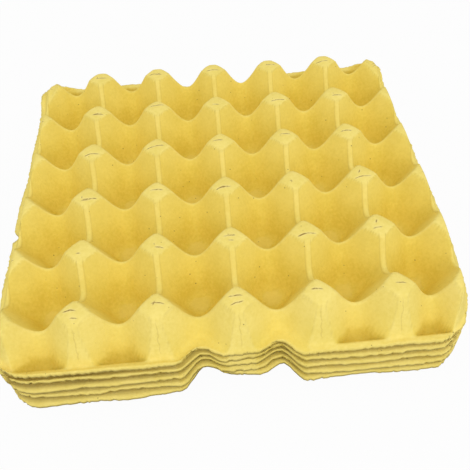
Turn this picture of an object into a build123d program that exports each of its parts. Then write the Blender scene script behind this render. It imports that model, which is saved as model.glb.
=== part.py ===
import os
from math import atan2, cos, pi, radians, sin, sqrt, tan

from build123d import *

# Stack of five nested egg trays, each pressed from one sheet of pulp, in millimetres.
# Z is up and the lowest tray's cups stand on Z = 0. A tray is the body under its upper
# face less the body under its lower face, and both come from the same functions.

# Tray: cups across and deep, the distance between them, the sheet and the outer size.
columns = 6
rows = 5
cup_spacing = 47.5
wall = 1.8
tray_height = 39.0
tray_side = 295.0
tray_corner = 24.0
trays = 5
nest_gap = 0.3

# Cups and the posts left standing between them. A post's cap is a diamond.
cup_floor = 16.0
post_cap = 19.0
saddle_drop = 16.3

# Rim: a flat flange, wide at the front and back, with sloping sides up to the posts.
flange_drop = 26.0
front_flange = 7.5
side_flange = 2.0
side_slope = 71.5
column_top = 5.0
half_cup_drop = 33.0
half_cup_slope = 68.0

# Rim notches in the front and back flange.
notch_width = 30.0
notch_depth = 9.5
notch_flare = 6.0

# Heights of the upper face. Cutters end above the posts.
flange_z = tray_height - flange_drop
saddle_z = tray_height - saddle_drop
half_floor_z = tray_height - half_cup_drop
cutter_top = tray_height + wall

# Plan positions. The half cups at the front and back carry on the grid of the cups.
post_row = rows / 2 * cup_spacing
half_row = post_row + cup_spacing / 2
crease_x = tray_side / 2 - side_flange
crease_y = tray_side / 2 - front_flange
rim_corner = tray_corner - front_flange

# A cup's square floor stands on its corner. Four faces lean to the posts, and four that
# start at the floor's corners lean to the saddles.
floor_half = cup_floor / 2
post_angle = atan2(tray_height - wall, (cup_spacing - post_cap / 2) / sqrt(2) - floor_half)
saddle_angle = atan2(saddle_z - wall, cup_spacing / 2 - sqrt(2) * floor_half)

# The sides of the rim. The front one cuts the caps' corners to columns that widen downwards.
side_angle = radians(side_slope)
half_angle = radians(half_cup_slope)
front_angle = atan2(flange_drop, crease_y - post_row - post_cap / 2 + column_top / 2)

# The steepest face sets how closely two trays can nest.
steepest = max(side_angle, half_angle, front_angle, post_angle, saddle_angle)
stack_pitch = wall / cos(steepest) + nest_gap


def foot_shift(depth, angle):
    """How far a sloping face shifts at its foot when face and foot both drop by depth."""
    return depth / sin(angle) - depth / tan(angle)


def sloped_bar(low_half, low_z, high_z, angle):
    """A long bar along Y whose two sides lean out at the angle, or in if it is over a right angle."""
    high_half = low_half + (high_z - low_z) / tan(angle)
    with BuildPart() as bar:
        with BuildSketch(Plane.XZ):
            with BuildLine():
                Polyline((-low_half, low_z), (low_half, low_z), (high_half, high_z), (-high_half, high_z),
                         close=True)
            make_face()
        extrude(amount=tray_side, both=True)
    return bar.part


def funnel(depth):
    """The hollow of a cup, with its faces moved down by depth."""
    foot = floor_half + foot_shift(depth, post_angle)
    to_posts = sloped_bar(foot, wall - depth, cutter_top, post_angle)
    to_saddles = sloped_bar(sqrt(2) * foot, wall - depth, cutter_top, saddle_angle)
    with BuildPart() as hollow:
        add(to_posts, rotation=(0, 0, 45))
        add(to_posts, rotation=(0, 0, -45), mode=Mode.INTERSECT)
        add(to_saddles, mode=Mode.INTERSECT)
        add(to_saddles, rotation=(0, 0, 90), mode=Mode.INTERSECT)
    return hollow.part


def half_funnel(depth):
    """A cup at the front edge, closed by the wall that rises to the flange."""
    floor_z = half_floor_z - depth
    foot_y = half_row - crease_y - depth / sin(half_angle) + (flange_z - floor_z) / tan(half_angle)
    mouth_y = foot_y - (cutter_top - floor_z) / tan(half_angle)
    with BuildPart() as hollow:
        add(funnel(depth))
        with BuildSketch(Plane.YZ):
            with BuildLine():
                Polyline((foot_y, floor_z), (cup_spacing, floor_z), (cup_spacing, cutter_top),
                         (mouth_y, cutter_top), close=True)
            make_face()
        extrude(amount=cup_spacing, both=True, mode=Mode.INTERSECT)
    return hollow.part


def shelf_funnel(depth):
    """A cup at the front edge that stops level with the flange, behind a rim notch."""
    with BuildPart() as hollow:
        add(funnel(depth))
        with Locations((0, 0, flange_z - depth)):
            Box(4 * cup_spacing, 4 * cup_spacing, 2 * tray_height,
                align=(Align.CENTER, Align.CENTER, Align.MIN), mode=Mode.INTERSECT)
    return hollow.part


def rim_block(depth):
    """The block with four sloping sides that the posts and cups are cut from."""
    low_z = flange_z - depth
    high_z = tray_height - depth
    with BuildPart() as block:
        add(sloped_bar(crease_x - foot_shift(depth, side_angle), low_z, high_z, pi - side_angle))
        add(sloped_bar(crease_y - foot_shift(depth, front_angle), low_z, high_z, pi - front_angle),
            rotation=(0, 0, 90), mode=Mode.INTERSECT)
        rising = block.edges().filter_by(lambda edge: abs(edge.tangent_at(0.5).Z) > 0.1)
        fillet(rising, radius=rim_corner - depth)
    return block.part


def edge_places(across):
    """Where the edge cups go, at the front and, turned round, at the back."""
    return [Location((0, 0, 0), (0, 0, turn)) * Location((x, -half_row, 0))
            for turn in (0, 180) for x in across]


def body_under(depth):
    """The solid below the tray's upper face, with that face moved down by depth."""
    across = [(column - (columns - 1) / 2) * cup_spacing for column in range(columns)]
    behind_notch = [x for x in across if abs(x) < cup_spacing]
    with BuildPart() as body:
        add(rim_block(depth))
        Box(2 * tray_side, 2 * tray_side, flange_z - depth, align=(Align.CENTER, Align.CENTER, Align.MIN))
        with GridLocations(cup_spacing, cup_spacing, columns, rows):
            add(funnel(depth), mode=Mode.SUBTRACT)
        with Locations(edge_places([x for x in across if x not in behind_notch])):
            add(half_funnel(depth), mode=Mode.SUBTRACT)
        with Locations(edge_places(behind_notch)):
            add(shelf_funnel(depth), mode=Mode.SUBTRACT)
    return body.part


# The flange's outline, with two rim notches at the front and two at the back.
notch_radius = ((notch_width / 2) ** 2 + notch_depth ** 2) / (2 * notch_depth)
notch_y = tray_side / 2 - notch_depth + notch_radius
with BuildSketch() as outline:
    RectangleRounded(tray_side, tray_side, tray_corner)
    with GridLocations(cup_spacing, 2 * notch_y, 2, 2):
        Circle(notch_radius, mode=Mode.SUBTRACT)
    mouths = outline.vertices().filter_by(lambda corner: abs(corner.X) < cup_spacing)
    fillet(mouths, radius=notch_flare)

with BuildPart() as tray:
    add(body_under(0))
    add(body_under(wall), mode=Mode.SUBTRACT)
    extrude(outline.sketch, amount=2 * tray_height, mode=Mode.INTERSECT)

# The stack: five alike, each seated in the one below.
os.makedirs("parts", exist_ok=True)
for number in range(trays):
    with BuildPart() as nested:
        with Locations((0, 0, number * stack_pitch)):
            add(tray.part)
    nested.part.label = f"tray_{number + 1}"
    export_step(nested.part, f"parts/tray_{number + 1}.step")
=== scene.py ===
from math import pi, radians, sqrt, tan

import bpy
from mathutils import Euler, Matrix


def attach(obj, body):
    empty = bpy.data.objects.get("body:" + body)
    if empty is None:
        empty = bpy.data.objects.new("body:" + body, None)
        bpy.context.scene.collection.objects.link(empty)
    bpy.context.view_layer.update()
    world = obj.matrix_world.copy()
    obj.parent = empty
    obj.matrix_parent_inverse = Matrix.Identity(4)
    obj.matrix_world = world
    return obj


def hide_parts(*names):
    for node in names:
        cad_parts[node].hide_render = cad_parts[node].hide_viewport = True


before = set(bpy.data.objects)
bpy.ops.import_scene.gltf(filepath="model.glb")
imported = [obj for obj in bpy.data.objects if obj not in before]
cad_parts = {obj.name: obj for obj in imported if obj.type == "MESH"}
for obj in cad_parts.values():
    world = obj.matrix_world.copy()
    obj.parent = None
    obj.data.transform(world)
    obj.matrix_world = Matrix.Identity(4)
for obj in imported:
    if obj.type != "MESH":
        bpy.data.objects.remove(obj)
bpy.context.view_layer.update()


# The trays. Each is one sheet of paper pulp, sucked wet onto a wire mould and dried, so every
# edge is soft and the rim is left rough. Cups, posts and ridges all follow from one rule of
# height over the plan. Sizes in millimetres, slopes as rise over run.
tray_sizes = {
    "Pitch": 47.5,
    "Wall": 1.3,
    "Height": 39.0,
    "Side": 294.0,
    "Corner": 24.0,
    "Half columns": 3.0,
    "Half rows": 2.5,
    "Floor half": 8.0,
    "Pad radius": 6.4,
    "Pad rise": 0.9,
    "Cap half": 10.5,
    "Cap dome": 1.3,
    "Column ridge": 2.9,
    "Row ridge": 1.2,
    "Saddle foot": 9.8,
    "Saddle drop": 16.0,
    "Flange drop": 26.0,
    "Front flange": 8.0,
    "Side flange": 2.5,
    "Side lift": 7.0,
    "Side cap drop": 3.2,
    "Far corner drop": 5.0,
    "Side slope": tan(radians(71.5)),
    "Front slope": tan(radians(65.0)),
    "Pocket drop": 34.5,
    "Pocket slope": tan(radians(68.0)),
    "Notch depth": 6.2,
    "Notch reach": 15.0,
    "Land setback": 7.3,
    "Lift": 0.0,
    "Front spread": 0.0,
    "Side drift": 0.0,
    "Corner curl": 0.0,
    "Far curl": 0.0,
    "Right tuck": 5.5,
    "Corner tuck": 4.0,
    "Rim lip": 1.8,
    "Tear": 0.0,
    "Covered": 0.0,
    "Rim wave": 1.0,
    "Rim fray": 0.8,
    "Dents": 0.35,
    "Gathering": 0.5,
    "Seed": 0.0,
    "Cells": 150.0,
}
tray_pitch = 5.973

tray_tree = bpy.data.node_groups.new("pressed pulp tray", "GeometryNodeTree")
for name, value in tray_sizes.items():
    socket = tray_tree.interface.new_socket(name, in_out="INPUT", socket_type="NodeSocketFloat")
    socket.default_value = value
tray_tree.interface.new_socket("Tray", in_out="OUTPUT", socket_type="NodeSocketGeometry")
tray_in = tray_tree.nodes.new("NodeGroupInput")
size = {name: tray_in.outputs[name] for name in tray_sizes}


def put(tree, socket, value):
    """Links a node's output to the socket, or sets the number there."""
    if isinstance(value, bpy.types.NodeSocket):
        tree.links.new(value, socket)
    else:
        socket.default_value = value


def sums(tree):
    """Returns a short way to write sums as nodes of that tree."""
    def work(operation, *values):
        node = tree.nodes.new("ShaderNodeMath")
        node.operation = operation
        for socket, value in zip(node.inputs, values):
            put(tree, socket, value)
        return node.outputs[0]
    return work


def steps(tree):
    """Returns a short way to write smooth steps between two numbers as nodes of that tree."""
    def smooth_step(value, low, high, to_low=0.0, to_high=1.0):
        node = tree.nodes.new("ShaderNodeMapRange")
        node.interpolation_type = "SMOOTHSTEP"
        for name, number in (("Value", value), ("From Min", low), ("From Max", high),
                             ("To Min", to_low), ("To Max", to_high)):
            put(tree, node.inputs[name], number)
        return node.outputs["Result"]
    return smooth_step


def clouds(tree):
    """Returns a short way to write three noises about zero, as x, y and z, in that tree."""
    def three_noises(where, scale, detail):
        texture = tree.nodes.new("ShaderNodeTexNoise")
        put(tree, texture.inputs["Vector"], where)
        texture.inputs["Scale"].default_value = scale
        texture.inputs["Detail"].default_value = detail
        middle = tree.nodes.new("ShaderNodeVectorMath")
        middle.operation = "SUBTRACT"
        tree.links.new(texture.outputs["Color"], middle.inputs[0])
        middle.inputs[1].default_value = (0.5, 0.5, 0.5)
        parts = tree.nodes.new("ShaderNodeSeparateXYZ")
        tree.links.new(middle.outputs[0], parts.inputs[0])
        return parts.outputs
    return three_noises


def vector(tree, x, y, z):
    """Three numbers as one vector."""
    node = tree.nodes.new("ShaderNodeCombineXYZ")
    for socket, value in zip(node.inputs, (x, y, z)):
        put(tree, socket, value)
    return node.outputs[0]


calc = sums(tray_tree)
step = steps(tray_tree)
cloud = clouds(tray_tree)


def between(amount, low, high):
    """A number between two others."""
    return calc("ADD", low, calc("MULTIPLY", amount, calc("SUBTRACT", high, low)))


def distance(across, along):
    """How far a point lies from a centre, from its two distances."""
    return calc("SQRT", calc("ADD", calc("MULTIPLY", across, across), calc("MULTIPLY", along, along)))


# A flat sheet with two faces a millimetre apart, closed along its edge.
sheet = tray_tree.nodes.new("GeometryNodeMeshGrid")
for axis_name in ("X", "Y"):
    put(tray_tree, sheet.inputs[f"Size {axis_name}"], size["Side"])
    put(tray_tree, sheet.inputs[f"Vertices {axis_name}"], size["Cells"])
lower = tray_tree.nodes.new("GeometryNodeFlipFaces")
tray_tree.links.new(sheet.outputs["Mesh"], lower.inputs[0])
upper = tray_tree.nodes.new("GeometryNodeExtrudeMesh")
upper.inputs["Offset Scale"].default_value = 1.0
upper.inputs["Individual"].default_value = False
tray_tree.links.new(sheet.outputs["Mesh"], upper.inputs["Mesh"])
both = tray_tree.nodes.new("GeometryNodeJoinGeometry")
tray_tree.links.new(lower.outputs[0], both.inputs[0])
tray_tree.links.new(upper.outputs["Mesh"], both.inputs[0])
closed = tray_tree.nodes.new("GeometryNodeMergeByDistance")
closed.inputs["Distance"].default_value = 0.01
tray_tree.links.new(both.outputs[0], closed.inputs["Geometry"])

place = tray_tree.nodes.new("GeometryNodeInputPosition")
axes = tray_tree.nodes.new("ShaderNodeSeparateXYZ")
tray_tree.links.new(place.outputs[0], axes.inputs[0])
sheet_x, sheet_y, flat_z = axes.outputs


def gathered(along, sign, last):
    """Moves the lines of the sheet's grid closer together at the ridges, out to the last ridge."""
    turn = calc("SINE", calc("DIVIDE", calc("MULTIPLY", along, 2 * pi), size["Pitch"]))
    most = calc("MULTIPLY", calc("MULTIPLY", size["Pitch"], sign / (2 * pi)), size["Gathering"])
    inside = calc("LESS_THAN", calc("ABSOLUTE", along), calc("MULTIPLY", last, size["Pitch"]))
    return calc("ADD", along, calc("MULTIPLY", calc("MULTIPLY", turn, most), inside))


flat_x = gathered(sheet_x, -1.0, size["Half columns"])
flat_y = gathered(sheet_y, 1.0, size["Half rows"])
under = calc("SUBTRACT", 1.0, flat_z)
depth = calc("MULTIPLY", under, size["Wall"])
half_side = calc("MULTIPLY", size["Side"], 0.5)
half_pitch = calc("MULTIPLY", size["Pitch"], 0.5)

# The outline: rounded corners, two notches at the front and back with the land between them set
# back, and a wavy, frayed edge.
notch_give = 40.0
seed_step = 83.0
noise_gain = 4.0
straight = calc("SUBTRACT", half_side, size["Corner"])
far_x = calc("ABSOLUTE", flat_x)
far_y = calc("ABSOLUTE", flat_y)
turn_x = calc("DIVIDE", calc("MAXIMUM", calc("SUBTRACT", far_x, straight), 0.0), size["Corner"])
turn_y = calc("DIVIDE", calc("MAXIMUM", calc("SUBTRACT", far_y, straight), 0.0), size["Corner"])


def bent(along, across):
    """How far a point in the square corner lies along the round one."""
    shrink = calc("SQRT", calc("SUBTRACT", 1.0, calc("MULTIPLY", calc("MULTIPLY", across, across), 0.5)))
    return calc("MULTIPLY", calc("MULTIPLY", along, shrink), size["Corner"])


out_x = calc("ADD", calc("MINIMUM", far_x, straight), bent(turn_x, turn_y))
out_y = calc("ADD", calc("MINIMUM", far_y, straight), bent(turn_y, turn_x))
off_notch = calc("ABSOLUTE", calc("SUBTRACT", out_x, half_pitch))
from_notch = calc("MINIMUM", calc("DIVIDE", off_notch, size["Notch reach"]), 1.0)
notch = calc("ADD", calc("MULTIPLY", calc("COSINE", calc("MULTIPLY", from_notch, pi)), 0.5), 0.5)
give_start = calc("SUBTRACT", half_side, notch_give)
give = calc("MULTIPLY", calc("MAXIMUM", calc("SUBTRACT", out_y, give_start), 0.0), 1 / notch_give)
land = step(out_x, calc("ADD", half_pitch, size["Notch reach"]), half_pitch)
inset = calc("ADD", calc("MULTIPLY", notch, size["Notch depth"]),
             calc("MULTIPLY", land, size["Land setback"]))
edge = calc("DIVIDE", calc("MAXIMUM", far_x, far_y), half_side)
at_edge = step(edge, 0.978, 1.0)
at_front = step(calc("DIVIDE", far_y, half_side), 0.95, 1.0)
beside_land = calc("SUBTRACT", at_front, calc("MULTIPLY", at_front, land))
out_y = calc("SUBTRACT", out_y, calc("MULTIPLY", inset, calc("MULTIPLY", give, give)))
out_y = calc("ADD", out_y, calc("MULTIPLY", size["Front spread"], beside_land))
seeded = vector(tray_tree, flat_x, flat_y, calc("MULTIPLY", size["Seed"], seed_step))
wave = cloud(seeded, scale=0.022, detail=1.0)
fray = cloud(seeded, scale=0.38, detail=3.0)


def rough(axis):
    """How far the edge strays along one axis."""
    waves = calc("MULTIPLY", wave[axis], calc("MULTIPLY", size["Rim wave"], noise_gain))
    frays = calc("MULTIPLY", fray[axis], calc("MULTIPLY", size["Rim fray"], noise_gain))
    return calc("MULTIPLY", calc("ADD", waves, frays), at_edge)


# A piece has torn out of the left edge of the top tray.
tear_y = -38.0
from_tear = calc("ABSOLUTE", calc("SUBTRACT", flat_y, tear_y))
tear = calc("MULTIPLY", step(from_tear, 5.0, 1.0), step(flat_x, -138.0, -147.0))
tray_x = calc("ADD", calc("MULTIPLY", out_x, calc("SIGN", flat_x)), rough(0))
tray_x = calc("ADD", tray_x, calc("MULTIPLY", size["Side drift"], at_edge))
tray_x = calc("ADD", tray_x, calc("MULTIPLY", size["Tear"], tear))
tray_y = calc("ADD", calc("MULTIPLY", out_y, calc("SIGN", flat_y)), rough(1))
side_x = calc("ABSOLUTE", tray_x)
side_y = calc("ABSOLUTE", tray_y)


def leaning(level, run, slope):
    """The height of a sloping face, moved down square to itself by the depth of the sheet."""
    drop = calc("MULTIPLY", depth, calc("SQRT", calc("ADD", 1.0, calc("MULTIPLY", slope, slope))))
    return calc("SUBTRACT", calc("ADD", level, calc("MULTIPLY", run, slope)), drop)


# A cup: a round bowl whose wall is low at its four saddles and runs up to its four posts. Flat
# ridges part it from the next, and a low round pad stands in its floor.
ridge_rounding = 0.5
bowl_rounding = 9.0
pad_bevel = 1.2
past_columns = calc("MINIMUM", side_x, calc("MULTIPLY", size["Half columns"], size["Pitch"]))
cup_x = calc("SUBTRACT", half_pitch, calc("PINGPONG", past_columns, half_pitch))
cup_y = calc("PINGPONG", side_y, half_pitch)
column_line = calc("SUBTRACT", half_pitch, calc("MULTIPLY", size["Column ridge"], 0.5))
row_line = calc("SUBTRACT", half_pitch, calc("MULTIPLY", size["Row ridge"], 0.5))
wall_x = calc("SMOOTH_MIN", cup_x, column_line, ridge_rounding)
wall_y = calc("SMOOTH_MIN", cup_y, row_line, ridge_rounding)
square_x = calc("MULTIPLY", wall_x, wall_x)
square_y = calc("MULTIPLY", wall_y, wall_y)
square_out = calc("ADD", calc("ADD", square_x, square_y), 0.001)
wall_out = calc("SQRT", square_out)
toward_post = calc("DIVIDE", calc("MULTIPLY", calc("MULTIPLY", square_x, square_y), 4.0),
                   calc("MULTIPLY", square_out, square_out))
to_cap = calc("DIVIDE", calc("SUBTRACT", size["Pitch"], size["Cap half"]), sqrt(2))
post_slope = calc("DIVIDE", calc("SUBTRACT", size["Height"], size["Wall"]),
                  calc("SUBTRACT", to_cap, size["Floor half"]))
saddle_rise = calc("SUBTRACT", calc("SUBTRACT", size["Height"], size["Saddle drop"]), size["Wall"])
saddle_line = calc("DIVIDE", calc("ADD", calc("MULTIPLY", square_x, column_line),
                                  calc("MULTIPLY", square_y, row_line)), square_out)
saddle_slope = calc("DIVIDE", saddle_rise, calc("SUBTRACT", saddle_line, size["Saddle foot"]))
wall_slope = between(toward_post, saddle_slope, post_slope)
wall_foot = between(toward_post, size["Saddle foot"], size["Floor half"])
walls = leaning(size["Wall"], calc("SUBTRACT", wall_out, wall_foot), wall_slope)
pad = step(distance(cup_x, cup_y), size["Pad radius"], calc("SUBTRACT", size["Pad radius"], pad_bevel))
cup_floor = calc("ADD", calc("SUBTRACT", size["Wall"], depth), calc("MULTIPLY", pad, size["Pad rise"]))
cup = calc("SMOOTH_MAX", walls, cup_floor, bowl_rounding)

# Half cups at the front and back. A wall closes them up to the flange, and the two in the middle
# stop level with it behind the notches. Along the sides the flange is a lip that lies higher.
pocket_rounding = 3.0
pocket_blend = 4.0
far_below = 100.0
along_side = calc("MULTIPLY", step(side_x, 120.0, 136.0), step(side_y, 136.0, 108.0))
flange_z = calc("ADD", calc("SUBTRACT", size["Height"], size["Flange drop"]),
                calc("MULTIPLY", size["Side lift"], along_side))
flange = calc("SUBTRACT", flange_z, depth)
crease_x = calc("SUBTRACT", half_side, size["Side flange"])
crease_y = calc("SUBTRACT", half_side, size["Front flange"])
pocket_wall = leaning(flange_z, calc("SUBTRACT", side_y, crease_y), size["Pocket slope"])
pocket_floor = calc("SUBTRACT", calc("SUBTRACT", size["Height"], size["Pocket drop"]), depth)
pocket = calc("SMOOTH_MAX", pocket_wall, pocket_floor, pocket_rounding)
in_middle = calc("LESS_THAN", side_x, size["Pitch"])
whole_cup = calc("LESS_THAN", side_y, calc("MULTIPLY", size["Half rows"], size["Pitch"]))
stop = calc("SUBTRACT", between(in_middle, pocket, flange), calc("MULTIPLY", whole_cup, far_below))
hollow = calc("SMOOTH_MAX", cup, stop, pocket_blend)

# The rim: sides that slope from the flange up to the caps, round at the corners. The caps along
# the left and right sides are rounder and lie lower, and the two at the far corners lie lowest.
flange_rounding = 3.0
cap_rounding = 3.0
cap_rounding_at_side = 2.0
fold_rounding = 0.9
fold_rounding_at_side = 1.6
dome_reach = 10.0
rim_corner = calc("SUBTRACT", size["Corner"], size["Front flange"])
past_x = calc("MAXIMUM", calc("SUBTRACT", side_x, calc("SUBTRACT", crease_x, rim_corner)), 0.0)
past_y = calc("MAXIMUM", calc("SUBTRACT", side_y, calc("SUBTRACT", crease_y, rim_corner)), 0.0)
front_share = calc("DIVIDE", past_y, calc("ADD", calc("ADD", past_x, past_y), 0.001))
rim_slope = between(front_share, size["Side slope"], size["Front slope"])
rim_side = leaning(flange_z, calc("SUBTRACT", rim_corner, distance(past_x, past_y)), rim_slope)
post_x = calc("SUBTRACT", half_pitch, cup_x)
post_y = calc("SUBTRACT", half_pitch, cup_y)
from_post = calc("ADD", calc("MULTIPLY", post_x, post_x), calc("MULTIPLY", post_y, post_y))
dome = calc("MULTIPLY", from_post, 1 / dome_reach ** 2)
cap = calc("SUBTRACT", calc("SUBTRACT", size["Height"], depth), calc("MULTIPLY", dome, size["Cap dome"]))
at_side = step(side_x, 126.0, 140.0)
far_drop = calc("MULTIPLY", size["Far corner drop"], step(flat_y, 80.0, 108.0))
cap = calc("SUBTRACT", cap, calc("MULTIPLY", at_side, calc("ADD", size["Side cap drop"], far_drop)))
crown = calc("SMOOTH_MIN", cap, rim_side,
             calc("ADD", cap_rounding, calc("MULTIPLY", at_side, cap_rounding_at_side)))
block = calc("SMOOTH_MAX", crown, flange, flange_rounding)
face = calc("SMOOTH_MIN", block, hollow,
            calc("ADD", fold_rounding, calc("MULTIPLY", at_side, fold_rounding_at_side)))

# Dents of the drying, how far the rim lifts and sags, an edge that is thicker than the sheet, and
# a right side that is pushed in towards the near corner.
sag_gain = 3.4
dent_gain = 2.0
dents = cloud(seeded, scale=0.06, detail=2.0)
near_corner = calc("MULTIPLY", step(flat_x, 10.0, -120.0), step(flat_y, -100.0, -140.0))
far_corner = calc("MULTIPLY", step(side_x, 119.0, 144.0), step(flat_y, 100.0, 122.0))
rim_sag = calc("MULTIPLY", wave[2], calc("MULTIPLY", size["Rim wave"], sag_gain))
rim_sag = calc("ADD", rim_sag, calc("MULTIPLY", near_corner, size["Corner curl"]))
rim_sag = calc("ADD", rim_sag, calc("MULTIPLY", far_corner, size["Far curl"]))
rim_lip = calc("MULTIPLY", calc("MULTIPLY", under, size["Rim lip"]), step(edge, 0.984, 0.996))
tray_z = calc("ADD", face, calc("MULTIPLY", dents[0], calc("MULTIPLY", size["Dents"], dent_gain)))
tray_z = calc("ADD", tray_z, calc("MULTIPLY", rim_sag, step(edge, 0.93, 1.0)))
tray_z = calc("ADD", calc("MAXIMUM", calc("SUBTRACT", tray_z, rim_lip), 0.0), size["Lift"])
right_side = calc("MULTIPLY", step(flat_x, 96.0, 147.0), step(flat_y, -50.0, -147.0))
right_corner = calc("MULTIPLY", step(flat_x, 112.0, 147.0), step(flat_y, -112.0, -147.0))
pushed_x = calc("SUBTRACT", tray_x, calc("MULTIPLY", size["Right tuck"], right_side))
pushed_x = calc("SUBTRACT", pushed_x, calc("MULTIPLY", size["Corner tuck"], right_corner))

shaped = tray_tree.nodes.new("GeometryNodeSetPosition")
metres = tray_tree.nodes.new("ShaderNodeVectorMath")
metres.operation = "SCALE"
tray_tree.links.new(vector(tray_tree, pushed_x, tray_y, tray_z), metres.inputs[0])
metres.inputs["Scale"].default_value = 0.001
tray_tree.links.new(metres.outputs[0], shaped.inputs["Position"])

# Paler crests: the ridges, caps, columns, pads, edges and near half cups come out paler than the cups,
# partly from wear and partly as painted light; the paler colour with height and on the near half cups and
# columns is painted light alone. Each number is how much paler.
ridge_paler = 0.45
height_paler = 0.55
cap_paler = 0.3
pad_over_cap = 1.5
edge_paler = 0.4
near_end_paler = 0.42
near_column_paler = 0.2
palest = 1.35
ridge = calc("MAXIMUM", step(calc("SUBTRACT", cup_x, column_line), -0.5, 0.3),
             step(calc("SUBTRACT", cup_y, row_line), -0.7, 0.3))
above_block = calc("SUBTRACT", hollow, block)
on_block = step(above_block, -0.1, 0.8)
on_cap = calc("MULTIPLY", on_block, step(face, 35.5, 37.5))
# The paler colour higher up is painted light: the deep cups come out darker.
crest = calc("ADD", calc("MULTIPLY", calc("MAXIMUM", ridge, on_block), ridge_paler),
             calc("MULTIPLY", step(face, 6.0, 38.0), height_paler))
flat_spots = calc("MAXIMUM", calc("MULTIPLY", pad, pad_over_cap), on_cap)
crest = calc("ADD", crest, calc("MULTIPLY", flat_spots, cap_paler))
crest = calc("ADD", crest, calc("MULTIPLY", step(edge, 0.985, 0.995), edge_paler))
oval_half_width = 21.5
oval_half_depth = 11.7
at_end = calc("SUBTRACT", 1.0, whole_cup)
at_near_end = calc("MULTIPLY", at_end, calc("LESS_THAN", flat_y, 0.0))
oval_x = calc("DIVIDE", cup_x, oval_half_width)
oval_y = calc("DIVIDE", calc("SUBTRACT", side_y, crease_y), oval_half_depth)
pocket_oval = distance(oval_x, oval_y)
in_pocket = calc("MULTIPLY", step(pocket_oval, 1.02, 0.78), step(face, 12.8, 11.8))
# Painted light from the front on the near half cups and columns, kept off the shaded pockets.
painted_near_light = calc("MULTIPLY", at_near_end, calc("SUBTRACT", 1.0, in_pocket))
end_paler = calc("ADD", calc("MULTIPLY", on_block, near_column_paler), near_end_paler)
crest = calc("ADD", crest, calc("MULTIPLY", painted_near_light, end_paler))
crest = calc("MINIMUM", crest, palest)

# Painted shade: the colour is darkened under the trays, in the gaps between their rims, most at the near
# left corner, in the half cups and along the folds, where shade falls.
gap_shade = 0.25
corner_shade = 0.48
pocket_shade = 0.13
fold_shade = 0.13
to_edge = calc("MULTIPLY", calc("SUBTRACT", 1.0, edge), half_side)
painted_shade = calc("MAXIMUM", under, calc("MULTIPLY", size["Covered"], step(to_edge, 1.2, 3.4)))
painted_shade = calc("MULTIPLY", painted_shade, between(near_corner, gap_shade, corner_shade))
painted_shade = calc("MAXIMUM", painted_shade, calc("MULTIPLY", calc("MULTIPLY", at_end, in_pocket), pocket_shade))
fold = calc("MULTIPLY", step(calc("ABSOLUTE", above_block), 0.9, 0.1), step(face, 15.0, 19.0))
painted_shade = calc("MAXIMUM", painted_shade, calc("MULTIPLY", fold, fold_shade))
stored = closed.outputs[0]
for name, value in (("crest", crest), ("painted_shade", painted_shade)):
    keep = tray_tree.nodes.new("GeometryNodeStoreNamedAttribute")
    keep.data_type = "FLOAT"
    keep.domain = "POINT"
    keep.inputs["Name"].default_value = name
    tray_tree.links.new(stored, keep.inputs["Geometry"])
    tray_tree.links.new(value, keep.inputs["Value"])
    stored = keep.outputs[0]
tray_tree.links.new(stored, shaped.inputs["Geometry"])
smooth = tray_tree.nodes.new("GeometryNodeSetShadeSmooth")
tray_tree.links.new(shaped.outputs[0], smooth.inputs["Geometry"])
real = tray_tree.nodes.new("GeometryNodeRealizeInstances")
tray_tree.links.new(smooth.outputs[0], real.inputs[0])

# Dyed pulp: matte, mottled, with fibres, brown specks and paler crests, partly wear and partly painted
# light.
cup_dark = (0.77, 0.59, 0.08, 1)
cup_light = (0.88, 0.69, 0.125, 1)
crest_dark = (0.845, 0.675, 0.155, 1)
crest_light = (0.935, 0.765, 0.22, 1)
# The dark brown of the painted shade under the trays, in the gaps, the half cups and the folds.
painted_shade_colour = (0.28, 0.18, 0.04, 1)
speck_colour = (0.16, 0.09, 0.03, 1)
speck_strength = 0.75
pulp = bpy.data.materials.new("dyed pulp")
pulp.use_nodes = True
pulp_tree = pulp.node_tree
shader = pulp_tree.nodes["Principled BSDF"]
mix = sums(pulp_tree)
fade = steps(pulp_tree)
fleck = clouds(pulp_tree)
coords = pulp_tree.nodes.new("ShaderNodeTexCoord").outputs["Object"]


def kept_on_mesh(name):
    """Reads a number that the tray's mesh holds at each point."""
    node = pulp_tree.nodes.new("ShaderNodeAttribute")
    node.attribute_name = name
    return node.outputs["Fac"]


def blend_colour(amount, low, high):
    """A colour between two others."""
    node = pulp_tree.nodes.new("ShaderNodeMix")
    node.data_type = "RGBA"
    put(pulp_tree, node.inputs["Factor"], amount)
    put(pulp_tree, node.inputs[6], low)
    put(pulp_tree, node.inputs[7], high)
    return node.outputs[2]


mottle = fleck(coords, scale=60.0, detail=4.0)
fibre = fleck(coords, scale=900.0, detail=3.0)
flock = fleck(coords, scale=480.0, detail=4.0)
cup_colour = blend_colour(fade(mix("ADD", mottle[0], flock[0]), -0.42, 0.42), cup_dark, cup_light)
crest_colour = blend_colour(fade(mix("ADD", mottle[1], flock[1]), -0.42, 0.42), crest_dark, crest_light)
# The paler crests, partly wear and partly painted light.
skin = blend_colour(kept_on_mesh("crest"), cup_colour, crest_colour)
# Painted shade darkens the colour where the tray's mesh holds it.
skin = blend_colour(kept_on_mesh("painted_shade"), skin, painted_shade_colour)
speck = pulp_tree.nodes.new("ShaderNodeTexVoronoi")
pulp_tree.links.new(coords, speck.inputs["Vector"])
speck.inputs["Scale"].default_value = 160.0
speck_here = mix("MULTIPLY", fade(speck.outputs["Distance"], 0.09, 0.045), fade(mottle[2], -0.02, 0.05))
skin = blend_colour(mix("MULTIPLY", speck_here, speck_strength), skin, speck_colour)
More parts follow.
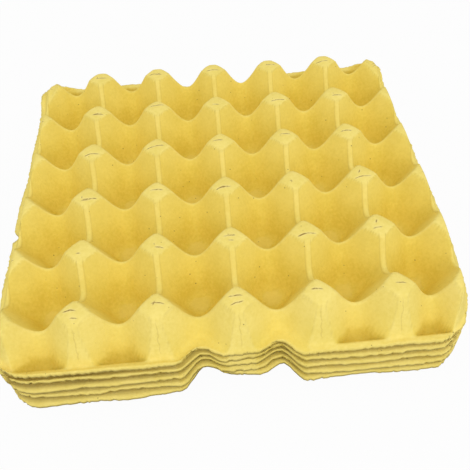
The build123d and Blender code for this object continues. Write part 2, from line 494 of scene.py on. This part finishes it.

# Creases: where the wet sheet was drawn over a post it gathered, and dried with a slit or two across the
# cap. Each post has its own. The columns at the front and back have one down them. The slits, the creases
# and the edges of the strips are drawn as dark lines of painted shade, and the lips beside the slits as
# pale painted highlight.
lip_highlight_colour = (0.95, 0.82, 0.34, 1)
crease_shade_colour = (0.25, 0.13, 0.015, 1)
slit_half = 0.6
lip_half = 1.7
slit_strength = 0.85
lip_strength = 0.55
column_strength = 0.16
strip_strength = 0.12
axis_read = pulp_tree.nodes.new("ShaderNodeSeparateXYZ")
pulp_tree.links.new(coords, axis_read.inputs[0])
pulp_x, pulp_y, pulp_z = axis_read.outputs
pitch_metres = tray_sizes["Pitch"] / 1000
post_u = mix("ADD", mix("DIVIDE", pulp_x, pitch_metres), 0.5)
post_v = mix("DIVIDE", pulp_y, pitch_metres)
from_post_u = mix("MULTIPLY", mix("SUBTRACT", mix("FRACT", post_u), 0.5), tray_sizes["Pitch"])
from_post_v = mix("MULTIPLY", mix("SUBTRACT", mix("FRACT", post_v), 0.5), tray_sizes["Pitch"])
wander = fleck(coords, scale=220.0, detail=2.0)
across_cap = mix("ADD", mix("ABSOLUTE", from_post_u), mix("ABSOLUTE", from_post_v))
top_of_stack = fade(pulp_z, 0.053, 0.056)
cap_here = mix("MULTIPLY", fade(across_cap, 10.5, 8.5), top_of_stack)


def slit(draw, along, across, lean, longest, share):
    """A slit, drawn as a dark line of painted shade, and its raised lips, drawn as a pale band of painted
    highlight, at a chance place, on a share of the posts.

    It runs along one axis, leans by up to half the lean and is bowed a little.
    """
    chance = pulp_tree.nodes.new("ShaderNodeTexWhiteNoise")
    where = vector(pulp_tree, mix("FLOOR", post_u), mix("FLOOR", post_v), draw)
    pulp_tree.links.new(where, chance.inputs["Vector"])
    parts = pulp_tree.nodes.new("ShaderNodeSeparateColor")
    pulp_tree.links.new(chance.outputs["Color"], parts.inputs[0])
    middle = mix("MULTIPLY", mix("SUBTRACT", parts.outputs[0], 0.5), 7.0)
    tilt = mix("MULTIPLY", mix("SUBTRACT", parts.outputs[1], 0.5), lean)
    bow = mix("MULTIPLY", mix("MULTIPLY", along, along), 0.02)
    off = mix("SUBTRACT", mix("SUBTRACT", across, middle), mix("MULTIPLY", along, tilt))
    off = mix("ABSOLUTE", mix("ADD", mix("ADD", off, bow), mix("MULTIPLY", wander[0], 1.8)))
    begin = mix("MULTIPLY", mix("SUBTRACT", parts.outputs[2], 0.5), 5.0)
    reach = mix("SUBTRACT", mix("MULTIPLY", mix("ADD", parts.outputs[1], 0.8), longest * 0.55),
                mix("ABSOLUTE", mix("SUBTRACT", along, begin)))
    ends = mix("MULTIPLY", fade(reach, 0.0, 2.5), cap_here)
    ends = mix("MULTIPLY", ends, mix("LESS_THAN", chance.outputs["Value"], share))
    return [mix("MULTIPLY", fade(off, half, 0.15), ends) for half in (slit_half, lip_half)]


cracks = [slit(1.0, from_post_u, from_post_v, lean=0.35, longest=7.5, share=0.9),
          slit(2.0, from_post_u, from_post_v, lean=0.6, longest=5.0, share=0.4),
          slit(3.0, from_post_v, from_post_u, lean=1.0, longest=2.5, share=0.35)]
slits, lips = (mix("MAXIMUM", mix("MAXIMUM", a, b), c) for a, b, c in zip(*cracks))
slits = mix("MULTIPLY", slits, fade(flock[2], -0.16, 0.04, 0.4, 1.0))
# The pale lips beside the slits are painted highlight.
skin = blend_colour(mix("MULTIPLY", lips, lip_strength), skin, lip_highlight_colour)
out_from_middle = mix("ABSOLUTE", pulp_y)
down_column = mix("ABSOLUTE", mix("ADD", from_post_u, mix("MULTIPLY", wander[1], 3.0)))
at_rim = mix("MULTIPLY", fade(out_from_middle, 0.126, 0.130), fade(pulp_z, 0.039, 0.043))
column_crease = mix("MULTIPLY", fade(down_column, 0.5, 0.2), at_rim)
strip_half = 0.5 * tray_sizes["Column ridge"] + 0.5
strip_edge = mix("ABSOLUTE", mix("SUBTRACT", mix("ABSOLUTE", from_post_u), strip_half))
between_caps = mix("MULTIPLY", fade(mix("ABSOLUTE", from_post_v), 6.0, 9.0),
                   fade(out_from_middle, 0.124, 0.120))
strip_line = mix("MULTIPLY", fade(strip_edge, 0.5, 0.15), between_caps)
fine_lines = mix("MAXIMUM", mix("MULTIPLY", column_crease, column_strength),
                 mix("MULTIPLY", strip_line, strip_strength))
creases = mix("MAXIMUM", mix("MULTIPLY", slits, slit_strength), fine_lines)
# The dark lines of painted shade in the slits, the creases and along the strip edges.
skin = blend_colour(creases, skin, crease_shade_colour)
pulp_tree.links.new(skin, shader.inputs["Base Color"])
pulp_tree.links.new(fade(fibre[0], -0.3, 0.3, 0.78, 0.95), shader.inputs["Roughness"])
shader.inputs["Specular IOR Level"].default_value = 0.15

# The grain: fibres, soft lumps and streaks that run down the walls.
grain = pulp_tree.nodes.new("ShaderNodeBump")
grain.inputs["Strength"].default_value = 0.35
grain.inputs["Distance"].default_value = 0.0006
drawn = pulp_tree.nodes.new("ShaderNodeMapping")
drawn.inputs["Scale"].default_value = (1.0, 1.0, 0.12)
pulp_tree.links.new(coords, drawn.inputs["Vector"])
streak = fleck(drawn.outputs[0], scale=260.0, detail=2.0)
surface = mix("ADD", mix("ADD", fibre[1], mix("MULTIPLY", mottle[1], 0.8)), mix("MULTIPLY", streak[0], 1.2))
pulp_tree.links.new(mix("SUBTRACT", surface, creases), grain.inputs["Height"])
pulp_tree.links.new(grain.outputs[0], shader.inputs["Normal"])

dressed = tray_tree.nodes.new("GeometryNodeSetMaterial")
dressed.inputs["Material"].default_value = pulp
tray_tree.links.new(real.outputs[0], dressed.inputs["Geometry"])
tray_out = tray_tree.nodes.new("NodeGroupOutput")
tray_tree.links.new(dressed.outputs[0], tray_out.inputs["Tray"])


def press_tray(name, changes):
    """Presses one tray from the tree, with its own sizes changed, and returns it as a plain mesh."""
    blank = bpy.data.objects.new(name, bpy.data.meshes.new(name))
    bpy.context.scene.collection.objects.link(blank)
    press = blank.modifiers.new("press", "NODES")
    press.node_group = tray_tree
    for socket in tray_tree.interface.items_tree:
        if socket.in_out == "INPUT":
            press[socket.identifier] = changes.get(socket.name, tray_sizes[socket.name])
    bpy.context.view_layer.update()
    shaped_tray = blank.evaluated_get(bpy.context.evaluated_depsgraph_get())
    mesh = bpy.data.meshes.new_from_object(shaped_tray)
    blank.modifiers.remove(press)
    blank.data = mesh
    return blank


# The lower trays stand out a little further at the front, and the stack gapes at its left corner.
# The top tray has a finer mesh, because its cups are seen.
tray_count = 5
for number in range(1, tray_count + 1):
    from_top = tray_count - number
    tray = press_tray(f"pulp_tray_{number}", {
        "Lift": (number - 1) * tray_pitch,
        "Seed": float(number),
        "Cells": 150.0 if from_top else 210.0,
        "Front spread": 1.1 * from_top - 3.4,
        "Side drift": 0.4 * from_top - 0.8,
        "Rim wave": 1.5 if from_top else 1.0,
        "Corner curl": 3.4 - 1.25 * from_top,
        "Far curl": 9.0 - 1.8 * from_top,
        # Covered turns on the painted shade in the gap under the tray above.
        "Covered": 1.0 if from_top else 0.0,
        "Tear": 0.0 if from_top else 4.0,
    })
    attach(tray, "root")
    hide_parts(f"tray_{number}")


# The floor: a broad sheet of plain white paper that the stack stands on. It is shown almost pure
# white, with a faint shadow.
bpy.ops.mesh.primitive_plane_add(size=6.0)
paper = bpy.context.object
paper.name = "white_paper"
white = bpy.data.materials.new("white paper")
white.use_nodes = True
white_tree = white.node_tree
paper_shader = white_tree.nodes["Principled BSDF"]
paper_shader.inputs["Base Color"].default_value = (0.6, 0.6, 0.6, 1)
paper_shader.inputs["Roughness"].default_value = 0.9
paper_shader.inputs["Specular IOR Level"].default_value = 0.0
rays = white_tree.nodes.new("ShaderNodeLightPath")
glow = white_tree.nodes.new("ShaderNodeEmission")
glow.inputs["Color"].default_value = (1, 1, 1, 1)
glow.inputs["Strength"].default_value = 1.0
glow_share = 0.96
seen = sums(white_tree)
direct = seen("MAXIMUM", rays.outputs["Is Camera Ray"],
              seen("MAXIMUM", rays.outputs["Is Glossy Ray"], rays.outputs["Is Transmission Ray"]))
paper_mix = white_tree.nodes.new("ShaderNodeMixShader")
white_tree.links.new(seen("MULTIPLY", direct, glow_share), paper_mix.inputs[0])
white_tree.links.new(paper_shader.outputs[0], paper_mix.inputs[1])
white_tree.links.new(glow.outputs[0], paper_mix.inputs[2])
white_tree.links.new(paper_mix.outputs[0], white_tree.nodes["Material Output"].inputs["Surface"])
paper.data.materials.append(white)


# Soft studio light: a white room and one broad round lamp at the front, a little to the right.
# The room lights every side, and the lamp gives the cups their shade.
room = bpy.data.worlds.new("white room")
room.use_nodes = True
room.node_tree.nodes["Background"].inputs["Color"].default_value = (1, 1, 1, 1)
room.node_tree.nodes["Background"].inputs["Strength"].default_value = 0.76
bpy.context.scene.world = room
lamp_data = bpy.data.lights.new("broad lamp", "AREA")
lamp_data.shape = "DISK"
lamp_data.size = 2.2
lamp_data.energy = 13.0
lamp = bpy.data.objects.new("broad lamp", lamp_data)
lamp.location = (0.25, -1.2, 1.35)
lamp.rotation_euler = lamp.location.to_track_quat("Z", "Y").to_euler()
bpy.context.scene.collection.objects.link(lamp)


# The camera, at the photograph's angle. It looks down on the stack from the front and is rolled
# a few degrees.
camera_tilt = radians(90 - 48.93)
camera_turn = radians(-2.52)
camera_roll = radians(-3.14)
lens = bpy.data.cameras.new("camera")
lens.sensor_width = 36.0
lens.lens = 43.74
lens.clip_start = 0.01
camera = bpy.data.objects.new("camera", lens)
camera.location = (-0.00771, -0.30794, 0.33603)
look = Euler((camera_tilt, 0, camera_turn)).to_matrix()
roll = Euler((0, 0, camera_roll)).to_matrix()
camera.rotation_euler = (look @ roll).to_euler()
bpy.context.scene.collection.objects.link(camera)
bpy.context.scene.camera = camera
bpy.context.scene.view_settings.view_transform = "Standard"
